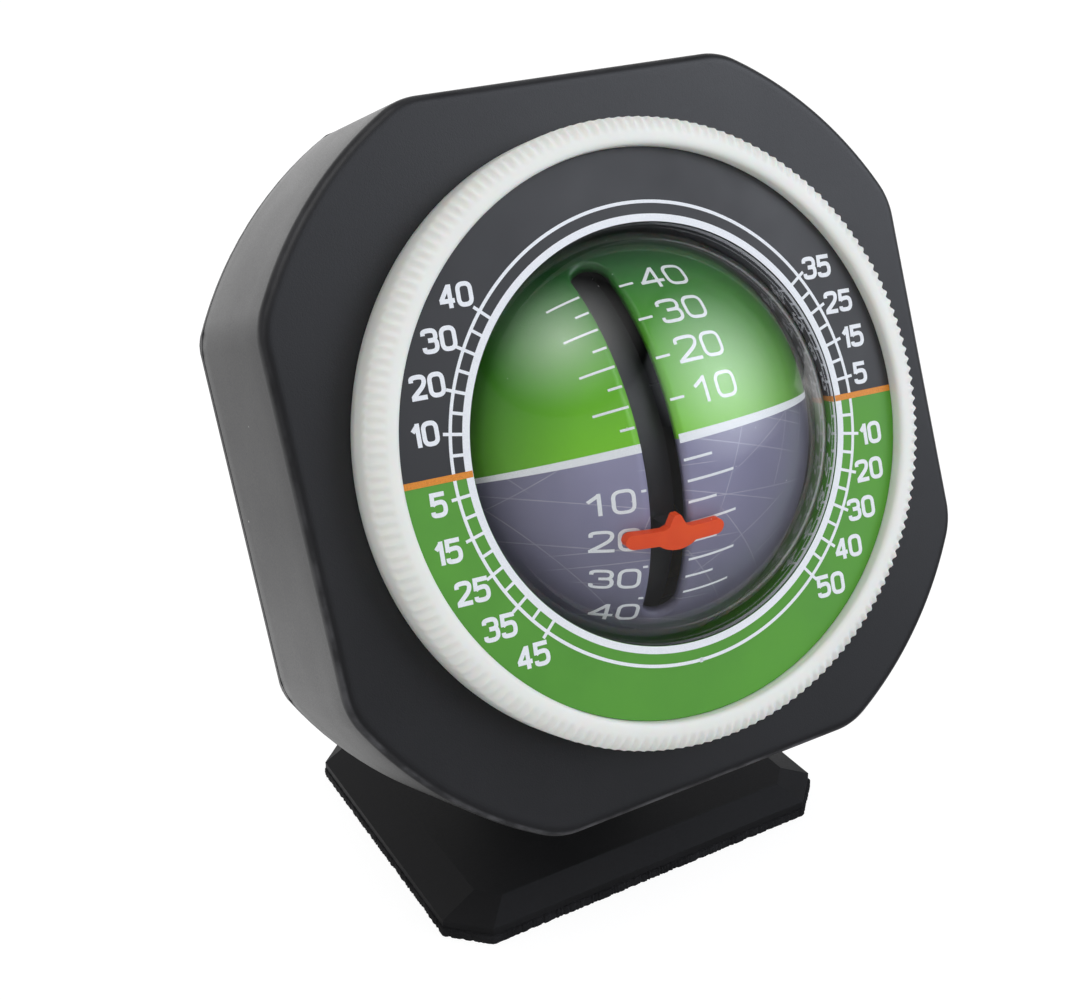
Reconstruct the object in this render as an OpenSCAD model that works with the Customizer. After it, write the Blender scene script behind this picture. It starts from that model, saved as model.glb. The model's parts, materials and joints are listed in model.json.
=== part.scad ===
// Dashboard inclinometer: a roll and pitch gauge on a tilting foot.
// Millimetres, +Z up. The face looks towards -Y and leans back. The origin is the
// middle of the underside of the adhesive pad.

/* [Housing] */
// Distance across the flats of the housing at the seam
housing_flats = 72; // [70:0.5:76]
// Diameter across the round corners of the housing at the seam
housing_round = 80.2; // [79:0.2:83]
// Depth of the front case, from its front face to the seam
case_depth = 18.1; // [17:0.1:20]
// Wall thickness of the case and its cover
wall = 2.2; // [1.8:0.1:2.6]
// Radius of the front edge of the housing
front_edge = 1.0; // [0.6:0.1:1.6]
// Depth of the small facet where a flat meets a round corner
corner_cut = 0.24; // [0.1:0.02:0.3]
// How far the side walls lean in towards the front, in degrees
draft = 1.9; // [0:0.1:3]
// How far the dial stands in front of the front face
face_drop = 3.8; // [3.6:0.1:4.2]

/* [Bezel and dial] */
// Outer radius of the turning bezel
bezel_r = 30.15; // [29.9:0.05:30.6]
// Radius of the printed dial
dial_r = 27.25; // [27.1:0.05:27.4]
// Radius of the opening in the dial
dial_hole_r = 20.19; // [20.1:0.01:20.4]
// Thickness of the dial
dial_t = 0.8; // [0.6:0.1:0.9]
// Number of grip ribs around the bezel
ribs = 180; // [120:10:180]
// Depth of the grooves between the grip ribs
rib_depth = 0.34; // [0.2:0.02:0.4]

/* [Ball and dome] */
// Outer radius of the horizon ball
ball_r = 23.2; // [23.0:0.1:23.4]
// Depth of the centre of the ball behind the dial
ball_depth = 16.5; // [16.4:0.1:16.8]
// Wall thickness of the ball
ball_wall = 1.0; // [0.8:0.1:1.1]
// Outer radius of the clear dome
dome_r = 25.9; // [25.8:0.05:26.0]
// Wall thickness of the dome
dome_wall = 1.0; // [0.8:0.1:1.1]
// Sideways offset of the slot, beside the roll axle
slot_x = -4.3; // [-4.6:0.1:-4.1]
// Width of the slot
slot_w = 3.7; // [3.5:0.1:3.9]
// Angle from the middle of the slot to the centre of its round ends
slot_angle = 42.5; // [42:0.5:44]

/* [Stand] */
// How far the face leans back
tilt = 21; // [19:1:22]
// Height of the dial centre above the surface
dial_height = 54.8; // [54.5:0.1:57]
// Distance of the dial centre in front of the middle of the pad
dial_forward = 23.2; // [22:0.2:24]
// Width of the foot
foot_w = 49; // [46:0.5:54]
// Depth of the foot
foot_d = 41.8; // [40:0.2:46]
// Thickness of the foam pad
pad_t = 1.2; // [0.8:0.1:1.6]
// Thickness of the foot plate on the pad
plate_t = 3.0; // [2.5:0.1:3.2]
// Cut corners of the foot, seen from above
foot_corner = 4; // [3:0.5:6]
// Distance of the hinge behind the middle of the foot
hinge_y = 3; // [2.5:0.1:3.5]
// Height of the hinge
hinge_z = 11.5; // [11.3:0.1:12]
// Radius of the hinge eyes
eye_r = 5; // [4.5:0.1:5.2]
// Diameter of the hinge bolt
bolt_d = 3; // [2.5:0.1:3.2]

/* [Hidden] */

$fn = 96;
// Overlap that lets a cut pass a face
cut = 0.5;

// The head's own axes: x to the right, y up the face, z out of the face, from the dial centre.
face_z = -face_drop;
seam_z = face_z - case_depth;
plate_back_z = face_z - 2.4;
half = housing_flats / 2;
round_r = housing_round / 2;
boss_at = 35.2 / sqrt(2);
boss_r = 3.0;
case_screw_r = 1.1;

// Capsule: the dome's flange, its gasket and the cup's flange lie one behind the other
opening_r = 24.2;
flange_r = 27.0;
flange_t = 1.2;
gasket_z = plate_back_z - flange_t;
cup_z = gasket_z - 0.8;
cup_in_r = 24.2;
cup_wall = 1.2;
cup_flange_r = 30.0;
cup_flange_t = 2.0;
cup_back_z = -33.4;
cup_back_t = 1.6;
cup_corner_r = 6.8;
cup_screw_at = 28.7;
cup_screw_r = 0.8;
ball_z = -ball_depth;

// Rear pod of the cover
cover_t = 2.0;
cover_z = seam_z - cover_t;
pod_in_r = 26.4;
pod_wall = 1.6;
pod_corner_r = 7.4;
pod_back_z = -39.6;
lip_depth = 1.5;

// Bezel: it turns on the spigot of the case, held by a wire ring
spigot_r = 26.42;
bezel_bore_r = 26.5;
spigot_z = -1.2;
bezel_foot_z = face_z + 0.1;
bezel_top_z = 1.3;
rib_in_r = 28.65;
spring_z = -2.5;
spring_wire_r = 0.45;
spring_r = 26.3;
spring_groove = 0.5;

// Roll axle and the frame that carries the ball
axle_r = 1.0;
bush_r = 2.5;
bush_bore_r = 1.04;
bush_front_z = -33.0;
bush_back_z = -36.6;
axle_back_z = -37.4;
// Retaining clips and the grooves that they sit in
clip_t = 0.4;
groove_d = 0.2;
clip_z = bush_back_z - 0.5;
carrier_bar = [-15.9, -13.7];
carrier_half_h = 2.5;
arm_out_r = ball_r - ball_wall - 0.01;
arm_in_r = arm_out_r - 1.8;
arm_top = 7.5;
rim_top = 2.5;
block_w = 2.4;
carrier_hub_r = 3.2;
axle_seat = 4.5;
shell_screw_top = 4.5;
shell_screw_r = 0.5;
shell_seat = ball_r - 0.75;

// Weight that keeps the ball upright, screwed to a keel beside the block
keel_t = 1.6;
keel_x = 1.8 - block_w;
roll_weight_t = 5.7;
roll_weight_r = [8.5, 18.5];
roll_screw_turns = [-16, 16];
roll_screw_at = 14;
roll_screw_r = 0.9;

// Pitch wheel, beside the axle, in the plane of the slot
wheel_rim = [19.6, 21.0];
wheel_rim_w = 3.2;
wheel_web_t = 1.4;
wheel_half_angle = 80;
spoke_w = 2.4;
hub_r = 3.2;
hub_left = -2.0;
hub_right = 1.6;
pin_r = 0.9;
pin_clip_x = slot_x + hub_left - 0.5;
pitch_bush_r = 1.6;
pitch_bore_r = 0.95;
arm_w = 1.6;
peg_r = 0.45;
pointer_in_r = 23.7;
pointer_out_r = 24.5;
wing_half = 4.0;
wing_r = 0.75;
// Its weight hangs behind and below the pointer, clear of the carrier's bar
weight_turn = 105;
pitch_weight_t = 4;
pitch_weight_r = [5.5, 13];
rivet_turns = [weight_turn - 14, weight_turn + 14];
rivet_at = 9.5;
rivet_r = 0.7;

// Foot
plate_top = pad_t + plate_t;
lug_half = 3.2;
washer_t = 0.5;
washer_r = 4.0;
ear_in = lug_half + washer_t + 0.05;
ear_out = ear_in + 3.5;
bolt_hole_r = bolt_d / 2 + 0.05;
bolt_head_t = 1.9;
nut_t = 2.4;
bolt_end = nut_t + 0.6;

// ---------------------------------------------------------------- frames of reference

// From the head's own axes to the standing position
module in_head() {
    translate([0, -dial_forward, dial_height]) rotate([90 - tilt, 0, 0]) children();
}

// The ball's axes: those of the head, from the centre of the ball
module in_ball() {
    in_head() translate([0, 0, ball_z]) children();
}

// The pitch wheel hangs plumb: z points level to the front, y points up
module in_pitch() {
    in_ball() translate([slot_x, 0, 0]) rotate([tilt, 0, 0]) children();
}

// Turns a profile drawn in y and z into a plate that stands across x
module across_x(t) {
    rotate([90, 0, 90]) linear_extrude(t, center = true) children();
}

// A cylinder along x, from x0 to x1
module x_rod(r, x0, x1) {
    translate([x0, 0, 0]) rotate([0, 90, 0]) cylinder(r = r, h = x1 - x0);
}

// ---------------------------------------------------------------- shared shapes

// Profile of a block with sides that lean in and two rounded upper edges
module round_topped(half_w, depth, edge) {
    centre_x = half_w - (depth - edge) * tan(draft) - edge / cos(draft);
    touch_x = centre_x + edge * cos(draft);
    touch_z = depth - edge + edge * sin(draft);
    polygon([[-half_w, 0], [half_w, 0], [touch_x, touch_z], [centre_x, depth],
        [-centre_x, depth], [-touch_x, touch_z]]);
    for (s = [-1, 1]) translate([s * centre_x, depth - edge]) circle(edge);
}

// A slab as wide as the housing, along the direction given by turn
module slab(turn, depth, edge) {
    rotate([90, 0, 90 + turn]) linear_extrude(2 * round_r, center = true)
        round_topped(half, depth, edge);
}

// The small facets between flats and round corners, with the same draft
module facet_slab(turn, half_w, depth) {
    top_w = half_w - depth * tan(draft);
    rotate([90, 0, 90 + turn]) linear_extrude(2 * round_r, center = true)
        polygon([[-half_w, 0], [half_w, 0], [top_w, depth], [-top_w, depth]]);
}

// A block with the housing's outline, four flats and four round corners with a small
// facet between each two, and a rounded edge at its upper end
module rounded_block(depth, edge) {
    facet_turn = acos(half / round_r) / 2;
    facet_half = round_r * cos(facet_turn) - corner_cut;
    intersection() {
        rotate_extrude() intersection() {
            round_topped(round_r, depth, edge);
            square([round_r, depth]);
        }
        slab(0, depth, edge);
        slab(-90, depth, edge);
        facet_slab(facet_turn, facet_half, depth);
        facet_slab(-facet_turn, facet_half, depth);
        facet_slab(90 + facet_turn, facet_half, depth);
        facet_slab(90 - facet_turn, facet_half, depth);
    }
}

// Outline inside the walls
module inner_outline(inset) {
    intersection() {
        circle(round_r - inset);
        square(2 * (half - inset), center = true);
    }
}

module at_corners() {
    for (sx = [-1, 1]) for (sy = [-1, 1]) translate([sx * boss_at, sy * boss_at, 0]) children();
}

module ring(r_out, r_in, z0, z1) {
    translate([0, 0, z0]) difference() {
        cylinder(r = r_out, h = z1 - z0);
        translate([0, 0, -cut]) cylinder(r = r_in, h = z1 - z0 + 2 * cut);
    }
}

// A pan-headed screw that points along +z, with its head's seat at z = 0 and a cross recess
module pan_screw(r, length, head_r, head_h) {
    cylinder(r = r, h = length);
    difference() {
        translate([0, 0, -head_h]) cylinder(r = head_r, h = head_h);
        for (a = [0, 90]) rotate(a) translate([0, 0, -head_h])
            cube([head_r * 1.2, head_r * 0.3, head_h], center = true);
    }
}

// An open retaining clip round a shaft
module open_clip(r_in, r_out, t) {
    difference() {
        cylinder(r = r_out, h = t);
        translate([0, 0, -cut]) cylinder(r = r_in, h = t + 2 * cut);
        translate([0, -r_in * 0.8, -cut]) cube([r_out + cut, r_in * 1.6, t + 2 * cut]);
    }
}

// Sector of a flat ring in the plane of y and z, centred on the angle a from +z
module sector(r_in, r_out, a, half_a) {
    intersection() {
        difference() {
            circle(r_out);
            circle(r_in);
        }
        polygon(concat([[0, 0]], [for (i = [-2:2]) 1.5 * r_out * [sin(a + i * half_a / 2),
            cos(a + i * half_a / 2)]]));
    }
}

// ---------------------------------------------------------------- foot

// Outline of the foot with cut corners
module foot_outline(w, d, c) {
    intersection() {
        square([w, d], center = true);
        rotate(45) square((w + d - 2 * c) / sqrt(2), center = true);
    }
}

module adhesive_pad() {
    color([0.10, 0.10, 0.10]) linear_extrude(pad_t) foot_outline(foot_w, foot_d, foot_corner);
}

// Profile of the foot plate: an upright edge and a bevel up to the flat top
module bevelled(half_w, inset, edge_t) {
    polygon([[-half_w, 0], [half_w, 0], [half_w, edge_t], [half_w - inset, plate_t],
        [inset - half_w, plate_t], [-half_w, edge_t]]);
}

// The same bevel across two opposite cut corners
module corner_bevel(half_w, edge_t, a) {
    rotate([90, 0, a]) linear_extrude(foot_w + foot_d, center = true)
        bevelled(half_w, 3.0, edge_t);
}

// Ear of the hinge, as a profile around the hinge axis
module ear_profile() {
    foot = hinge_z - plate_top + cut;
    circle(eye_r);
    polygon([[-eye_r - 3, -foot], [-eye_r, -eye_r / 2], [-eye_r, 0], [eye_r, 0],
        [eye_r, -eye_r / 2], [eye_r + 3, -foot]]);
}

module base_plate() {
    edge_in = 0.2;
    upright = 0.8;
    half_w = foot_w / 2 - edge_in;
    half_d = foot_d / 2 - edge_in;
    color([0.13, 0.13, 0.14]) difference() {
        union() {
            translate([0, 0, pad_t]) intersection() {
                rotate([90, 0, 0]) linear_extrude(foot_d, center = true)
                    bevelled(half_w, 4.0, upright);
                rotate([90, 0, 90]) linear_extrude(foot_w, center = true)
                    bevelled(half_d, 2.0, upright);
                corner_bevel((half_w + half_d - foot_corner) / sqrt(2), upright, 45);
                corner_bevel((half_w + half_d - foot_corner) / sqrt(2), upright, -45);
            }
            for (s = [-1, 1]) translate([s * (ear_in + ear_out) / 2, hinge_y, hinge_z])
                across_x(ear_out - ear_in) ear_profile();
        }
        translate([0, hinge_y, hinge_z]) x_rod(bolt_hole_r, -ear_out - cut, ear_out + cut);
    }
}

module hinge_bolt() {
    color([0.62, 0.63, 0.65]) translate([0, hinge_y, hinge_z]) difference() {
        union() {
            x_rod(bolt_d / 2, -ear_out - bolt_end, ear_out);
            x_rod(bolt_d * 0.92, ear_out, ear_out + bolt_head_t);
        }
        // Hexagon socket
        translate([ear_out + bolt_head_t / 2, 0, 0]) rotate([0, 90, 0])
            cylinder(r = bolt_d * 0.385, h = bolt_head_t, $fn = 6);
    }
}

module hinge_nut() {
    color([0.62, 0.63, 0.65]) translate([-ear_out - nut_t, hinge_y, hinge_z]) rotate([0, 90, 0])
        difference() {
            cylinder(r = bolt_d * 1.04, h = nut_t, $fn = 6);
            translate([0, 0, -cut]) cylinder(r = bolt_d / 2, h = nut_t + 2 * cut);
        }
}

module friction_washers() {
    color([0.75, 0.72, 0.62]) translate([0, hinge_y, hinge_z]) for (s = [-1, 1])
        translate([s * (ear_in - washer_t / 2), 0, 0]) rotate([0, 90, 0])
        ring(washer_r, bolt_hole_r, -washer_t / 2, washer_t / 2);
}

// ---------------------------------------------------------------- head: case and bracket

// The hinge axis, seen from the head's own axes
hinge_v = (hinge_y + dial_forward) * sin(tilt) + (hinge_z - dial_height) * cos(tilt);
hinge_w = (hinge_z - dial_height) * sin(tilt) - (hinge_y + dial_forward) * cos(tilt);
bracket_t = 2.8;
bracket_half = 9.5;
bracket_top = 7;
bracket_low = -17;
bracket_screws_at = [[-7, 3], [7, 3], [-7, -12], [7, -12]];
bracket_screw_r = 0.9;

module tilt_bracket() {
    back = pod_back_z - bracket_t;
    color([0.14, 0.14, 0.15]) in_head() difference() {
        union() {
            translate([0, 0, back]) linear_extrude(bracket_t) difference() {
                translate([-bracket_half, bracket_low])
                    square([2 * bracket_half, bracket_top - bracket_low]);
                for (s = [-1, 1]) translate([s * bracket_half, bracket_top]) rotate(45)
                    square(4, center = true);
            }
            // Lug that narrows from the plate down to the eye
            across_x(2 * lug_half) {
                translate([hinge_v, hinge_w]) circle(eye_r);
                polygon([[hinge_v, hinge_w - eye_r], [-14, back - 2.2], [-6, back], [-6, back + 1],
                    [bracket_low, back + 1], [bracket_low, pod_back_z], [-20, pod_back_z],
                    [-23.5, pod_back_z + 0.7], [hinge_v + 3, hinge_w + 4],
                    [hinge_v, hinge_w + eye_r]]);
            }
            // Side ribs of the lug
            for (s = [-1, 1]) translate([s * 7.5, 0, 0]) across_x(2)
                polygon([[bracket_low, back], [bracket_low, back - 1.6], [3, back - 1.6],
                    [bracket_top - 2, back]]);
        }
        translate([0, hinge_v, hinge_w]) x_rod(bolt_hole_r, -lug_half - cut, lug_half + cut);
        for (p = bracket_screws_at) translate([p[0], p[1], back - 3])
            cylinder(r = bracket_screw_r + 0.15, h = bracket_t + 3 + cut);
        for (p = bracket_screws_at) translate([p[0], p[1], back - 3]) cylinder(r = 2.0, h = 3);
    }
}

module bracket_screws() {
    color([0.60, 0.61, 0.63]) in_head() for (p = bracket_screws_at)
        translate([p[0], p[1], pod_back_z - bracket_t])
        pan_screw(bracket_screw_r, 5.4, 1.8, 1.1);
}

module front_case() {
    color([0.16, 0.16, 0.17]) in_head() difference() {
        union() {
            difference() {
                translate([0, 0, seam_z]) rounded_block(case_depth, front_edge);
                translate([0, 0, seam_z - cut])
                    linear_extrude(plate_back_z - seam_z + cut) inner_outline(wall);
            }
            at_corners() translate([0, 0, seam_z]) cylinder(r = boss_r, h = plate_back_z - seam_z);
            ring(cup_flange_r + 0.2, flange_r + 0.1, cup_z, plate_back_z + 0.2);
            ring(spigot_r, opening_r, plate_back_z, spigot_z);
        }
        translate([0, 0, plate_back_z - cut]) cylinder(r = opening_r, h = 10);
        // Groove for the wire ring that holds the bezel
        ring(spigot_r + cut, spring_r - spring_wire_r, spring_z - spring_groove,
            spring_z + spring_groove);
        at_corners() translate([0, 0, seam_z - cut]) cylinder(r = case_screw_r, h = 10 + cut);
        for (a = [0:90:270]) rotate(a) translate([cup_screw_at, 0, cup_z - cut])
            cylinder(r = cup_screw_r, h = 3.4 + cut);
    }
}

// Half section of a cup with a flat back and a round corner, open towards +z
module cup_section(r_side, corner, back, top) {
    square_h = top - back;
    difference() {
        union() {
            translate([0, back]) square([r_side - corner, square_h]);
            translate([0, back + corner]) square([r_side, square_h - corner]);
            translate([r_side - corner, back + corner]) circle(corner);
        }
        translate([-2 * r_side, back - cut]) square([2 * r_side, square_h + 2 * cut]);
    }
}

module rear_cover() {
    in_corner = pod_corner_r;
    color([0.14, 0.14, 0.15]) in_head() difference() {
        union() {
            translate([0, 0, seam_z]) rotate([0, 180, 0]) rounded_block(cover_t, 1.4);
            rotate_extrude() cup_section(pod_in_r + pod_wall, in_corner + pod_wall, pod_back_z, seam_z);
            // Lip that centres the cover in the case
            translate([0, 0, seam_z - cut]) linear_extrude(lip_depth + cut) difference() {
                inner_outline(wall + 0.1);
                inner_outline(wall + 1.3);
            }
        }
        rotate_extrude() cup_section(pod_in_r, in_corner, pod_back_z + pod_wall, seam_z + cut);
        at_corners() translate([0, 0, seam_z]) cylinder(r = boss_r + 0.2, h = lip_depth + cut);
        at_corners() translate([0, 0, cover_z - cut]) cylinder(r = case_screw_r + 0.2, h = 9);
        at_corners() translate([0, 0, cover_z - cut]) cylinder(r = 2.4, h = cut + 1.0);
        for (p = bracket_screws_at) translate([p[0], p[1], pod_back_z - cut])
            cylinder(r = bracket_screw_r, h = pod_wall + 2 * cut);
    }
    // Bosses for the bracket's screws
    color([0.14, 0.14, 0.15]) in_head() for (p = bracket_screws_at) translate([p[0], p[1], 0])
        ring(2.2, bracket_screw_r, pod_back_z + pod_wall - 0.4, pod_back_z + 4.1);
}

module case_screws() {
    color([0.60, 0.61, 0.63]) in_head() at_corners()
        translate([0, 0, cover_z + 1.0]) pan_screw(case_screw_r, 9.6, 2.1, 1.3);
}

// ---------------------------------------------------------------- head: capsule

module capsule_cup() {
    back = cup_back_z - cup_back_t;
    color([0.07, 0.07, 0.08]) in_head() difference() {
        rotate_extrude() difference() {
            union() {
                cup_section(cup_in_r + cup_wall, cup_corner_r + cup_wall, back, cup_z);
                translate([0, cup_z - cup_flange_t]) square([cup_flange_r, cup_flange_t]);
                translate([0, bush_back_z]) square([4.5, 3]);
            }
            cup_section(cup_in_r, cup_corner_r, cup_back_z, cup_z + cut);
        }
        translate([0, 0, bush_back_z - cut]) cylinder(r = bush_r, h = 5);
        for (a = [0:90:270]) rotate(a) translate([cup_screw_at, 0, cup_z - 3])
            cylinder(r = cup_screw_r + 0.1, h = 4);
    }
}

module cup_screws() {
    color([0.60, 0.61, 0.63]) in_head() for (a = [0:90:270]) rotate(a)
        translate([cup_screw_at, 0, cup_z - cup_flange_t])
        pan_screw(cup_screw_r, 5.2, 1.25, 0.9);
}

module dome_gasket() {
    color([0.05, 0.05, 0.05]) in_head() ring(flange_r, cup_in_r, cup_z, gasket_z);
}

// Clear dome: part of a sphere round the ball's centre, with a clamping flange
module dome_lens() {
    color([0.85, 0.92, 0.95, 0.35]) in_ball() difference() {
        union() {
            sphere(dome_r);
            translate([0, 0, gasket_z - ball_z]) cylinder(r = flange_r, h = flange_t);
        }
        sphere(dome_r - dome_wall);
        translate([0, 0, -dome_r - cut])
            cylinder(r = dome_r + cut, h = dome_r + cut + gasket_z - ball_z);
    }
}

module roll_bush() {
    color([0.78, 0.62, 0.30]) in_head() ring(bush_r, bush_bore_r, bush_back_z, bush_front_z);
}

// Wire ring, open at one place, that snaps into the grooves of spigot and bezel
module bezel_spring() {
    color([0.70, 0.71, 0.73]) in_head() translate([0, 0, spring_z]) difference() {
        rotate_extrude() translate([spring_r, 0]) circle(spring_wire_r);
        translate([0, spring_r, 0]) cube([6, 4, 4], center = true);
    }
}

// ---------------------------------------------------------------- bezel

// The bezel's section: upright wall, ribbed shoulder, flat top and a seat for the dial
module bezel_section() {
    shoulder = [[bezel_r, 0.05], [bezel_r - 0.25, 0.6], [bezel_r - 0.75, 1.05],
        [rib_in_r, bezel_top_z]];
    difference() {
        polygon(concat([[bezel_bore_r, bezel_foot_z], [bezel_r - 0.1, bezel_foot_z]], shoulder,
            [[dial_r + 0.45, bezel_top_z], [dial_r + 0.05, bezel_top_z - 0.35],
            [dial_r + 0.05, -dial_t], [bezel_bore_r, -dial_t]]));
        translate([bezel_bore_r - cut, spring_z - 0.65]) square([cut + 0.6, 1.3]);
    }
}

// Grip ribs: a groove cut across the shoulder for each rib
module bezel_ring() {
    slope = atan2(bezel_top_z + 0.15, bezel_r - rib_in_r);
    groove = PI * bezel_r / ribs * 0.82;
    color([0.90, 0.91, 0.86]) in_head() difference() {
        rotate_extrude() bezel_section();
        for (i = [0:ribs - 1]) rotate(i * 360 / ribs) translate([bezel_r + 0.12, 0, -0.25])
            rotate([0, slope - 90, 0]) rotate(180) linear_extrude(3)
            polygon([[rib_depth, 0], [-0.6, groove * 1.5], [-0.6, -groove * 1.5]]);
    }
}

module scale_ring() {
    color([0.27, 0.29, 0.29]) in_head() rotate_extrude()
        polygon([[dial_hole_r, 0], [dial_r, 0], [dial_r, -dial_t], [dial_hole_r + 0.8, -dial_t]]);
}

// ---------------------------------------------------------------- horizon ball

// The slot, cut from the centre outwards
module slot_tool() {
    reach = 30;
    translate([slot_x, 0, 0]) {
        across_x(slot_w) polygon([[0, 0], [reach * tan(slot_angle), reach],
            [-reach * tan(slot_angle), reach]]);
        for (s = [-1, 1]) rotate([s * slot_angle, 0, 0]) cylinder(r = slot_w / 2, h = reach);
    }
}

module horizon_shell() {
    color([0.36, 0.62, 0.20]) in_ball() difference() {
        sphere(ball_r);
        sphere(ball_r - ball_wall);
        translate([0, 0, -ball_r - cut]) cylinder(r = ball_r + cut, h = ball_r + cut + rim_top);
        slot_tool();
        for (s = [-1, 1]) translate([0, 0, shell_screw_top]) rotate([0, 90 * s, 0]) {
            cylinder(r = shell_screw_r + 0.15, h = ball_r + cut);
            translate([0, 0, shell_seat]) cylinder(r = 1.3, h = 2);
        }
    }
}

// Frame in the level plane through the ball's centre: two curved arms, a rear bar with the
// axle's hub, and a block beside the slot that holds the pitch pin
module roll_carrier() {
    bar_z = carrier_bar[0];
    color([0.12, 0.12, 0.13]) in_ball() difference() {
        union() {
            intersection() {
                sphere(arm_out_r);
                translate([-ball_r, -carrier_half_h, bar_z])
                    cube([2 * ball_r, 2 * carrier_half_h, arm_top - bar_z]);
                union() {
                    difference() {
                        sphere(arm_out_r + cut);
                        rotate([90, 0, 0]) cylinder(r = arm_in_r, h = ball_r, center = true);
                    }
                    translate([-ball_r, -ball_r, bar_z])
                        cube([2 * ball_r, 2 * ball_r, carrier_bar[1] - bar_z]);
                }
            }
            translate([0, 0, bar_z - 0.4]) cylinder(r = carrier_hub_r, h = 4.4);
            translate([-block_w, -block_w, bar_z + 1])
                cube([2 * block_w, 2 * block_w, -bar_z + 2]);
            // Keel that carries the weight
            translate([keel_x - keel_t / 2, 0, 0]) across_x(keel_t)
                polygon([[0, -6], [0, 2], [-14, 6], [-18, 3], [-18, -3], [-14, -6]]);
        }
        translate([0, 0, bar_z - 1]) cylinder(r = axle_r, h = axle_seat + 0.1 + 1);
        x_rod(pin_r, -block_w - cut, block_w + cut);
        for (s = [-1, 1]) translate([0, 0, shell_screw_top]) rotate([0, 90 * s, 0])
            cylinder(r = shell_screw_r, h = ball_r);
        for (a = roll_screw_turns) rotate([90 + a, 0, 0]) translate([0, 0, roll_screw_at])
            x_rod(roll_screw_r, -block_w - cut, 0);
    }
}

module shell_screws() {
    color([0.60, 0.61, 0.63]) in_ball() for (s = [-1, 1]) translate([0, 0, shell_screw_top])
        rotate([0, -90 * s, 0]) translate([0, 0, -shell_seat])
        pan_screw(shell_screw_r, 2.2, 1.1, 0.45);
}

module roll_axle() {
    color([0.72, 0.73, 0.75]) in_head() difference() {
        translate([0, 0, axle_back_z])
            cylinder(r = axle_r, h = ball_z + carrier_bar[0] + axle_seat - axle_back_z);
        ring(axle_r + cut, axle_r - groove_d, clip_z, clip_z + clip_t);
    }
}

module axle_clip() {
    color([0.45, 0.46, 0.48]) in_head() translate([0, 0, clip_z])
        open_clip(axle_r - groove_d, 2.2, clip_t);
}

module roll_weight() {
    color([0.72, 0.58, 0.30]) in_ball() translate([keel_x + roll_weight_t / 2, 0, 0]) difference() {
        across_x(roll_weight_t) sector(roll_weight_r[0], roll_weight_r[1], -90, 38);
        for (a = roll_screw_turns) rotate([90 + a, 0, 0]) translate([0, 0, roll_screw_at])
            x_rod(roll_screw_r, -roll_weight_t, roll_weight_t);
    }
}

module roll_weight_screws() {
    color([0.60, 0.61, 0.63]) in_ball() for (a = roll_screw_turns) rotate([90 + a, 0, 0])
        translate([keel_x + roll_weight_t, 0, roll_screw_at]) rotate([0, -90, 0])
        pan_screw(roll_screw_r, roll_weight_t + keel_t * 0.75, 1.8, 0.9);
}

module pitch_pin() {
    color([0.72, 0.73, 0.75]) in_ball() difference() {
        x_rod(pin_r, pin_clip_x - 0.6, block_w);
        translate([pin_clip_x, 0, 0]) rotate([0, 90, 0])
            ring(pin_r + cut, pin_r - groove_d, 0, clip_t);
    }
}

module pin_clip() {
    color([0.45, 0.46, 0.48]) in_ball() translate([pin_clip_x, 0, 0])
        rotate([0, 90, 0]) open_clip(pin_r - groove_d, 2.0, clip_t);
}

// ---------------------------------------------------------------- pitch wheel

module pitch_wheel() {
    color([0.10, 0.10, 0.11]) in_pitch() difference() {
        union() {
            across_x(wheel_rim_w) sector(wheel_rim[0], wheel_rim[1], 0, wheel_half_angle);
            across_x(wheel_web_t) {
                for (a = [-70, 0, 70]) rotate(90 - a) translate([0, -spoke_w / 2])
                    square([wheel_rim[0] + 0.5, spoke_w]);
                sector(0, pitch_weight_r[1] + 0.2, -weight_turn, 30);
            }
            x_rod(hub_r, hub_left, hub_right);
            // Arm through the slot, ending under the pointer
            intersection() {
                translate([-arm_w / 2, -arm_w / 2, wheel_rim[0] + 0.4]) cube([arm_w, arm_w, 6]);
                translate([-slot_x, 0, 0]) sphere(pointer_in_r);
            }
            intersection() {
                cylinder(r = peg_r, h = 40);
                translate([-slot_x, 0, 0]) sphere(pointer_in_r + 0.5);
                translate([-2, -2, wheel_rim[1]]) cube([4, 4, 6]);
            }
        }
        x_rod(pitch_bush_r, hub_left - cut, hub_right + cut);
        for (a = rivet_turns) rotate([a, 0, 0]) translate([0, 0, rivet_at])
            x_rod(rivet_r, -wheel_web_t, wheel_web_t);
    }
}

module pitch_bush() {
    color([0.78, 0.62, 0.30]) in_pitch() difference() {
        x_rod(pitch_bush_r, hub_left, hub_right);
        x_rod(pitch_bore_r, hub_left - cut, hub_right + cut);
    }
}

module pitch_weight() {
    color([0.72, 0.58, 0.30]) in_pitch() difference() {
        translate([-(wheel_web_t + pitch_weight_t) / 2, 0, 0]) across_x(pitch_weight_t)
            sector(pitch_weight_r[0], pitch_weight_r[1], -weight_turn, 27);
        for (a = rivet_turns) rotate([a, 0, 0]) translate([0, 0, rivet_at])
            x_rod(rivet_r, -wheel_web_t - pitch_weight_t, wheel_web_t);
    }
}

module pitch_weight_rivets() {
    left = -wheel_web_t / 2 - pitch_weight_t;
    color([0.60, 0.61, 0.63]) in_pitch() for (a = rivet_turns) rotate([a, 0, 0])
        translate([0, 0, rivet_at]) {
            x_rod(rivet_r, left, wheel_web_t / 2);
            x_rod(1.2, left - 0.5, left);
            x_rod(1.1, wheel_web_t / 2, wheel_web_t / 2 + 0.4);
        }
}

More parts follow.
